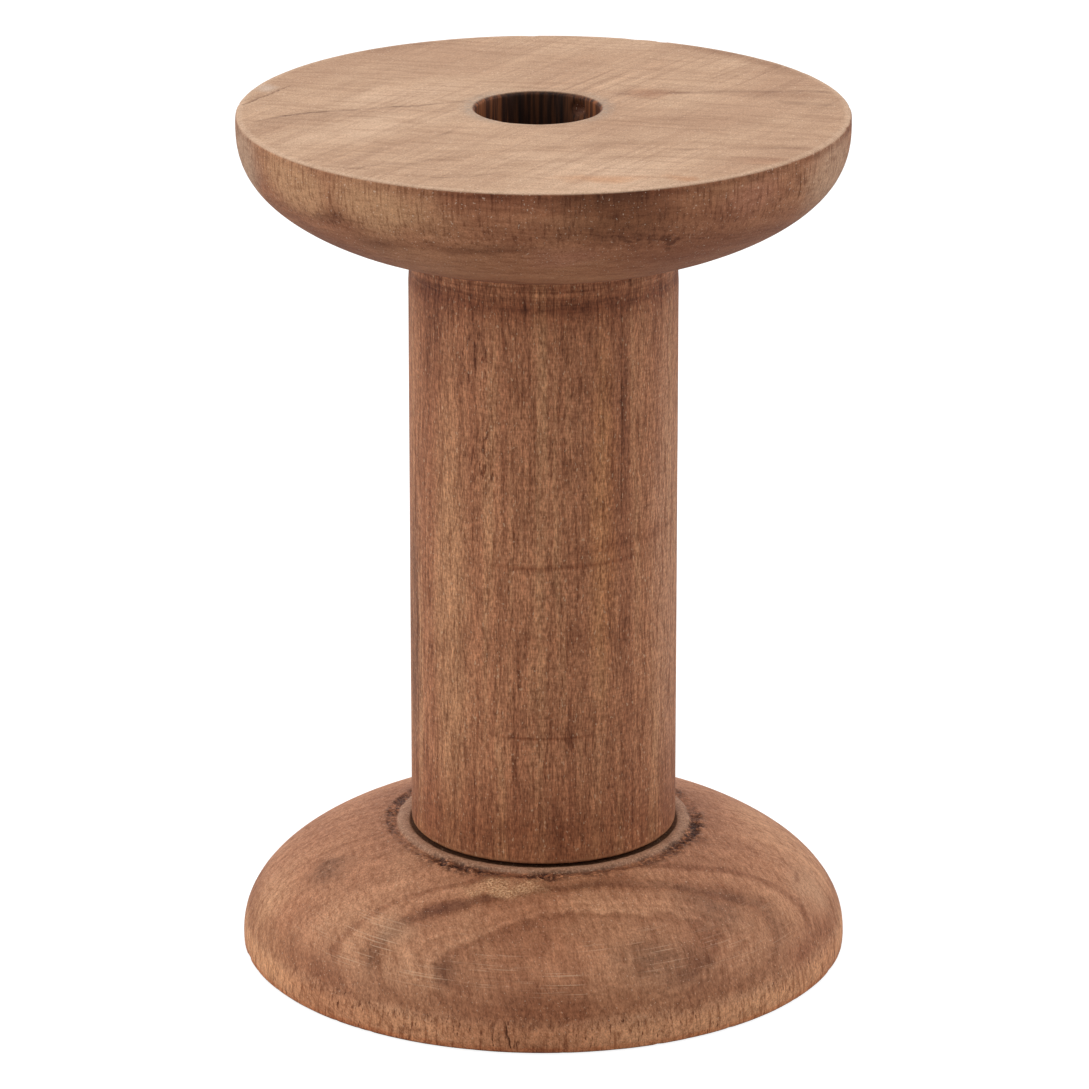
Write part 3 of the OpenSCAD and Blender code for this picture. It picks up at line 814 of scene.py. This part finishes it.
    ml = g.mul(ml, g.span(g.math("ABSOLUTE", g.vmath("DOT_PRODUCT", g.vmath("SUBTRACT", wl, (-15.7, -14.6, H)), unit((-0.77, 0.63, 0)))), 0.8, 0.1))
    top_c = g.tint(top_c, g.mul(ml, 0.6), (0.62, 0.56, 0.52))
    orange = g.math("MAXIMUM", g.spot(w, (9.5, -41.5, H), (10, 3.4, 4), 0.1), g.spot(w, (21.5, -41.0, H), (4, 2.4, 4), 0.1))
    top_c = g.tint(top_c, g.mul(orange, 0.9), (0.93, 0.76, 0.62))
    rr = g.math("MAXIMUM", g.spot(w, (17.5, 10.5, H), (6, 4.5, 4), 0.1), g.mul(g.spot(w, (36.0, -31.0, H), (8, 4, 4), 0.1), 0.7))
    top_c = g.tint(top_c, g.mul(rr, 0.75), (0.88, 0.73, 0.65))
    shade = g.mul(g.span(rad, 44.5, 48.6), g.math("MAXIMUM", g.spot(w, (34.0, 35.0, H), (20, 20, 6), 0.4), g.mul(g.spot(w, (-24.0, 41.0, H), (9, 7, 6), 0.3), 0.6)))
    top_c = g.tint(top_c, g.mul(shade, 0.85), (0.66, 0.57, 0.51))
    backdark = g.spot(w, (8.0, 33.0, H), (26, 13, 6), 0.1)
    top_c = g.tint(top_c, g.mul(backdark, 0.45), (0.84, 0.78, 0.74))
    # darker grey at the hole's left and right rim
    br = g.vmath("DISTANCE", g.vmath("MULTIPLY", g.P, (1, 1, 0)), (BORE_X, BORE_Y, 0))
    rim_grey = g.mul(g.span(br, 13.6, 10.8), g.span(g.math("ABSOLUTE", g.x), 5.0, 10.0, 0.25, 1.0))
    top_c = g.mix(g.mul(rim_grey, g.level(g.noise(g.P, 1.4, 2.0, 0.6), 0.1, 0.85)), top_c, (0.30, 0.235, 0.185))
    kgrey = g.spot(w, (-45.2, 14.3, H), (2.6, 3.4, 4), 0.2)
    top_c = g.mix(g.mul(kgrey, 0.5), top_c, (0.56, 0.44, 0.36))
    col = g.mix(face, side, top_c)
    rub = g.mul(g.value("edge"), face)
    col = g.mix(g.mul(rub, 0.4), col, (0.62, 0.43, 0.30))
    fine = g.noise(g.P, 4.0, 2.0, 0.65)
    col = g.mix(1.0, col, g.ramp(fine, [(0.33, (0.78, 0.74, 0.71)), (0.5, 1.0), (0.68, 1.17)]), "MULTIPLY")
    col = g.mix(g.mul(specks(g, g.P, 2.7, 0.68, 0.76), 0.5), col, (0.80, 0.62, 0.47))
    col = g.tint(col, g.value("crack"), (0.26, 0.19, 0.15))
    # wall of the hole: painted shade, coloured near black and painted lighter towards its left and right sides
    wall = g.span(br, 10.8, 10.3)
    bores = g.noise(g.stretch((1, 1, 0.04), (4, 0, 0)), 1.1, 3.0, 0.65)
    bore_shade_col = g.ramp(bores, [(0.34, (0.030, 0.010, 0.006)), (0.48, (0.075, 0.024, 0.010)), (0.64, (0.25, 0.082, 0.028))])
    bore_side_light = g.span(g.math("ABSOLUTE", g.math("ADD", g.x, 0.0)), 3.0, 9.5, 0.35, 1.15)
    bore_shade_col = g.mix(1.0, bore_shade_col, bore_side_light, "MULTIPLY")
    bore_shade_col = g.tint(bore_shade_col, g.value("pit"), (0.25, 0.2, 0.2))
    col = g.mix(wall, col, bore_shade_col)
    rough = g.span(fine, 0.3, 0.7, 0.74, 0.60, "LINEAR")
    height = g.add(g.mul(fine, 0.8), g.mul(saw, g.mul(face, 0.8)), g.mul(stri, g.mul(band, 1.5)), g.mul(fur, g.mul(torn, 4.0)))
    return g.finish(col, rough, height, 0.032)


# ---------------------------------------------------------------- barrel
def barrel_material():
    g = Graph("barrel_wood")
    pw = warp(g, g.P, 0.12, 1.2, (4.0, 4.0, 9.0))
    q = g.vmath("MULTIPLY", pw, (1, 1, 0.03))
    stripes = g.noise(q, 0.30, 3.0, 0.6)
    col = g.ramp(stripes, [(0.32, (0.29, 0.110, 0.052)), (0.46, (0.37, 0.153, 0.075)), (0.56, (0.41, 0.178, 0.088)), (0.68, (0.48, 0.235, 0.118))])
    w = warp(g, g.P, 0.10, 3.0, (7.0, 1.0, 2.0))
    light = g.spot(w, (-15.5, -16.0, 60.0), (5.5, 5.5, 56.0), 0.35)
    col = g.mix(g.mul(light, 0.65), col, (0.50, 0.255, 0.128))
    gold = g.spot(w, (9.6, -20.0, 82.0), (3.4, 3.6, 42.0), 0.35)
    col = g.tint(col, g.mul(gold, 0.7), (1.15, 1.16, 1.0))
    right = g.spot(w, (20.5, -9.0, 70.0), (6, 9, 60.0), 0.3)
    col = g.mix(g.mul(right, 0.5), col, (0.47, 0.245, 0.145))
    # lighter and darker fibres
    fib = g.noise(g.vmath("MULTIPLY", pw, (1, 1, 0.07)), 1.6, 3.0, 0.65)
    col = g.mix(1.0, col, g.ramp(fib, [(0.34, (0.66, 0.57, 0.52)), (0.47, 0.98), (0.66, 1.24)]), "MULTIPLY")
    grey = g.spot(w, (-21.5, -6.0, 56.0), (3.4, 4.4, 32.0), 0.3)
    col = g.tint(col, g.mul(grey, g.level(fib, 0.95, 0.5)), (0.52, 0.52, 0.54))
    left_top = g.spot(w, (-19.0, -12.0, 110.0), (7, 8, 16), 0.3)
    col = g.tint(col, g.mul(left_top, 0.45), (0.80, 0.74, 0.70))
    # dark flecks in short upright dashes, thick in a few places
    fl = g.noise(g.stretch((1, 1, 0.20)), 1.5, 3.0, 0.6)
    fmask = g.add(0.16, g.spot(w, (-9.5, -20.0, 91.0), (5.5, 4.5, 10.0), 0.2), g.mul(g.spot(w, (-11.0, -19.2, 108.0), (5.5, 4.5, 9.0), 0.2), 0.9), g.mul(g.spot(w, (-16.8, -14.6, 112.0), (3.5, 4.5, 7.0), 0.2), 0.8))
    col = g.tint(col, g.math("MULTIPLY", g.span(fl, 0.53, 0.63), fmask, clamp=True), (0.42, 0.30, 0.24))
    # long dark streak at the right, with its cleft
    st = g.mul(g.spot(w, (12.9, -18.1, 101.0), (0.95, 0.95, 20.0), 0.0), g.level(fl, 1.0, 0.5))
    col = g.tint(col, st, (0.42, 0.30, 0.24))
    st2 = g.spot(w, (14.2, -17.0, 92.0), (2.4, 2.4, 18.0), 0.2)
    col = g.tint(col, g.mul(st2, 0.4), (0.78, 0.69, 0.65))
    # faint level arcs from the cutter
    az_r = g.math("ARCTAN2", g.x, g.math("MULTIPLY", g.y, -1.0))
    zz = g.add(g.z, g.mul(g.noise(g.P, 0.08, 2.0, 0.5), 1.6), -0.8)

    def arc(z0, half, mid, wide, amount, slope=0.0):
        zc = g.math("SUBTRACT", zz, z0)
        if slope:
            zc = g.math("SUBTRACT", zc, g.math("MULTIPLY", g.math("SUBTRACT", az_r, mid), slope))
        m = g.span(g.math("ABSOLUTE", zc), half, 0.0)
        return g.mul(m, g.span(g.math("ABSOLUTE", g.math("SUBTRACT", az_r, mid)), wide, wide * 0.4), amount)
    arcs = g.add(arc(73.4, 0.8, 0.25, 0.85, 0.8), arc(76.4, 2.4, 0.75, 0.75, 0.55, 1.0), arc(43.6, 0.45, 0.0, 0.5, 0.9), arc(61.0, 4.5, 0.2, 0.7, 0.3), arc(46.0, 4.0, 0.3, 0.9, 0.25))
    col = g.tint(col, g.mul(arcs, g.level(fl, 1.1, 0.7)), (0.62, 0.49, 0.42))
    # dark ring under the top flange, partly a real ring and partly painted shade cast by the flange above, then a
    # paler band with cutter lines, painted shade again at the shoulder right under the flange, and a darker foot
    zr = g.add(g.z, g.mul(g.noise(g.P, 0.15, 2.0, 0.5), 1.0), -0.5)
    ring = g.ramp(g.span(zr, Z_HI - 12.5, Z_HI + 1.5, 0, 1, "LINEAR"), [
        (0.0, 1.0), (0.25, (0.96, 0.94, 0.92)), (0.42, (0.86, 0.78, 0.73)), (0.51, (0.66, 0.54, 0.48)), (0.60, (0.70, 0.60, 0.54)),
        (0.68, (1.02, 0.98, 0.95)), (0.74, (0.92, 0.87, 0.83)), (0.79, 1.10), (0.84, (0.90, 0.84, 0.80)), (0.885, (0.55, 0.47, 0.43)), (1.0, (0.4, 0.33, 0.3))], "EASE")
    col = g.tint(col, 1.0, ring)
    cut = g.noise(g.stretch((0.05, 0.05, 1.0)), 2.3, 2.0, 0.6)
    col = g.tint(col, g.span(g.z, Z_HI - 7.5, Z_HI - 3.5), g.ramp(cut, [(0.37, (0.76, 0.68, 0.64)), (0.5, 1.0), (0.63, 1.15)]))
    footn = g.add(g.z, g.mul(g.noise(g.P, 0.10, 2.0, 0.5), 5.0), -2.5)
    foot = g.ramp(g.span(footn, 21, 41, 0, 1, "LINEAR"), [(0.0, (0.88, 0.80, 0.74)), (0.12, (0.82, 0.74, 0.68)), (0.30, (0.72, 0.62, 0.56)), (0.55, (0.86, 0.80, 0.77)), (1.0, 1.0)], "EASE")
    col = g.tint(col, 1.0, foot)
    # fine fuzz, faint level weave and light specks
    fine = g.noise(g.stretch((1, 1, 0.26)), 4.0, 2.0, 0.65)
    col = g.mix(1.0, col, g.ramp(fine, [(0.33, (0.60, 0.52, 0.47)), (0.5, 1.0), (0.66, 1.42)]), "MULTIPLY")
    weave = g.noise(g.stretch((0.22, 0.22, 1.0)), 3.2, 1.0, 0.5)
    col = g.mix(1.0, col, g.ramp(weave, [(0.36, (0.90, 0.86, 0.84)), (0.5, 1.0), (0.64, 1.08)]), "MULTIPLY")
    col = g.mix(g.mul(specks(g, g.stretch((1, 1, 0.45)), 2.9, 0.67, 0.74), 0.55), col, (0.70, 0.46, 0.29))
    col = g.tint(col, g.mul(g.value("pit"), 0.6), (0.55, 0.45, 0.40))
    col = g.tint(col, g.value("crack"), (0.40, 0.29, 0.23))
    # rubbed shoulders, dark joint faces and tenons
    rad = g.vmath("LENGTH", g.vmath("MULTIPLY", g.P, (1, 1, 0)))
    col = g.mix(g.mul(g.value("edge"), 0.35), col, (0.42, 0.20, 0.10))
    col = g.tint(col, g.span(rad, 21.9, 21.3), (0.45, 0.36, 0.30))
    # painted shade: the bore's wall is coloured near black, painted lighter towards its left and right sides
    br = g.vmath("DISTANCE", g.vmath("MULTIPLY", g.P, (1, 1, 0)), (BORE_X, BORE_Y, 0))
    wall = g.span(br, 10.8, 10.3)
    bores = g.noise(g.stretch((1, 1, 0.04), (4, 0, 0)), 1.1, 3.0, 0.65)
    bore_shade_col = g.ramp(bores, [(0.34, (0.026, 0.009, 0.006)), (0.48, (0.065, 0.020, 0.009)), (0.64, (0.20, 0.064, 0.022))])
    bore_shade_col = g.mix(1.0, bore_shade_col, g.span(g.math("ABSOLUTE", g.x), 3.0, 9.5, 0.35, 1.1), "MULTIPLY")
    col = g.mix(wall, col, bore_shade_col)
    rough = g.span(fib, 0.3, 0.7, 0.70, 0.55, "LINEAR")
    height = g.add(g.mul(fine, 1.3), g.mul(fib, 0.9), g.mul(fl, 0.5), g.mul(weave, 0.3))
    return g.finish(col, rough, height, 0.035)


def glue_material():
    g = Graph("glue")
    n = g.noise(g.P, 0.6, 3.0, 0.6)
    bub = g.noise(g.P, 2.2, 2.0, 0.5)
    col = g.ramp(n, [(0.3, (0.16, 0.055, 0.014)), (0.7, (0.36, 0.15, 0.042))])
    return g.finish(col, g.span(bub, 0.3, 0.7, 0.22, 0.42, "LINEAR"), bub, 0.05, 0.5)


top.data.materials.append(top_material())
barrel.data.materials.append(barrel_material())
base.data.materials.append(base_material())
glue = glue_material()
for name in ("top_glue_film", "base_glue_film"):
    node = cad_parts[name]
    if not node.material_slots:
        node.data.materials.append(glue)
    for s in node.material_slots:
        s.material = glue

for piece, node, slot in ((top, "top_flange", "flange_wood_upper"), (barrel, "barrel", "barrel_wood"), (base, "base_flange", "flange_wood_lower")):
    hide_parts(node)
    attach(piece, "root")

# ---------------------------------------------------------------- floor
fm = bpy.data.meshes.new("floor")
S = 4.0
fm.from_pydata([(-S, -S, 0), (S, -S, 0), (S, S, 0), (-S, S, 0)], [], [(0, 1, 2, 3)])
floor = bpy.data.objects.new("floor", fm)
floor.location.z = -0.00003
bpy.context.scene.collection.objects.link(floor)
fmat = bpy.data.materials.new("floor")
fmat.use_nodes = True
nt = fmat.node_tree
nt.nodes.clear()
fo = nt.nodes.new("ShaderNodeOutputMaterial")
# seen directly the floor is nearly burnt out, as on a light table; the light it throws back is softer
fd = nt.nodes.new("ShaderNodeBsdfDiffuse")
fd.inputs[0].default_value = (0.28, 0.28, 0.28, 1)
fe = nt.nodes.new("ShaderNodeEmission")
fe.inputs[0].default_value = (1, 1, 1, 1)
fe.inputs[1].default_value = 0.86
fa = nt.nodes.new("ShaderNodeAddShader")
nt.links.new(fd.outputs[0], fa.inputs[0])
nt.links.new(fe.outputs[0], fa.inputs[1])
fb = nt.nodes.new("ShaderNodeBsdfDiffuse")
fb.inputs[0].default_value = (0.52, 0.515, 0.51, 1)
fl = nt.nodes.new("ShaderNodeLightPath")
fx = nt.nodes.new("ShaderNodeMixShader")
nt.links.new(fl.outputs["Is Camera Ray"], fx.inputs[0])
nt.links.new(fb.outputs[0], fx.inputs[1])
nt.links.new(fa.outputs[0], fx.inputs[2])
nt.links.new(fx.outputs[0], fo.inputs[0])
fm.materials.append(fmat)

# ---------------------------------------------------------------- light
scene = bpy.context.scene
scene.view_settings.view_transform = "Standard"
scene.view_settings.look = "None"
scene.view_settings.exposure = 0.0
scene.view_settings.gamma = 1.0

world = bpy.data.worlds.new("studio")
scene.world = world
world.use_nodes = True
wt = world.node_tree
wt.nodes.clear()


def wnode(kind, **props):
    n = wt.nodes.new(kind)
    for k, v in props.items():
        setattr(n, k, v)
    return n


def wmath(op, a, b, clamp=False):
    n = wnode("ShaderNodeMath", operation=op, use_clamp=clamp)
    for s, v in zip(n.inputs, (a, b)):
        if isinstance(v, bpy.types.NodeSocket):
            wt.links.new(v, s)
        else:
            s.default_value = v
    return n.outputs[0]


wc = wnode("ShaderNodeTexCoord")
ws = wnode("ShaderNodeSeparateXYZ")
wt.links.new(wc.outputs["Generated"], ws.inputs[0])
wx, wy, wz = ws.outputs
# a white room that is darker behind the camera
front = wnode("ShaderNodeMapRange", interpolation_type="SMOOTHSTEP")
wt.links.new(wy, front.inputs[0])
for s, v in zip(list(front.inputs)[1:5], (0.15, -0.85, 0.0, 1.0)):
    s.default_value = v
level = wmath("SUBTRACT", 0.80, wmath("MULTIPLY", front.outputs[0], 0.46))
level = wmath("ADD", level, wmath("MULTIPLY", wmath("MAXIMUM", wz, 0.0), 0.16))
level = wmath("ADD", level, wmath("MULTIPLY", wmath("MAXIMUM", wmath("MULTIPLY", wx, -1.0), 0.0), 0.22))
seen = wnode("ShaderNodeLightPath")
both = wnode("ShaderNodeMix", data_type="FLOAT")
wt.links.new(seen.outputs["Is Camera Ray"], both.inputs[0])
wt.links.new(level, both.inputs[2])
both.inputs[3].default_value = 1.0
wb = wnode("ShaderNodeBackground")
wb.inputs[0].default_value = (1, 1, 1, 1)
wt.links.new(both.outputs[0], wb.inputs[1])
wo = wnode("ShaderNodeOutputWorld")
wt.links.new(wb.outputs[0], wo.inputs[0])


def softbox(name, at, aim, size, watts, colour=(1, 1, 1)):
    l = bpy.data.lights.new(name, "AREA")
    l.shape = "RECTANGLE"
    l.size, l.size_y = size
    l.energy = watts
    l.color = colour
    o = bpy.data.objects.new(name, l)
    o.location = at
    o.rotation_mode = "QUATERNION"
    o.rotation_quaternion = (Vector(aim) - Vector(at)).to_track_quat("-Z", "Y")
    scene.collection.objects.link(o)
    return o


softbox("box_left", (-0.85, -0.25, 0.55), (0, 0, 0.08), (0.7, 0.9), 3.0)
softbox("box_right", (0.85, 0.05, 0.50), (0, 0, 0.08), (0.6, 0.8), 2.2)
softbox("box_top", (0.0, 0.35, 1.05), (0, 0, 0.1), (0.9, 0.7), 2.5)

# ---------------------------------------------------------------- camera
cam = bpy.data.objects.new("camera", bpy.data.cameras.new("camera"))
cam.data.sensor_width = 36.0
cam.data.lens = 5920.44 / 1089 * 36.0
cam.data.clip_start, cam.data.clip_end = 0.05, 20.0
cam.location = (0.000166, -0.92907, (H + 246.606) / MM)
cam.rotation_euler = (math.pi / 2 - 0.3327, 0, 0)
scene.collection.objects.link(cam)
scene.camera = cam
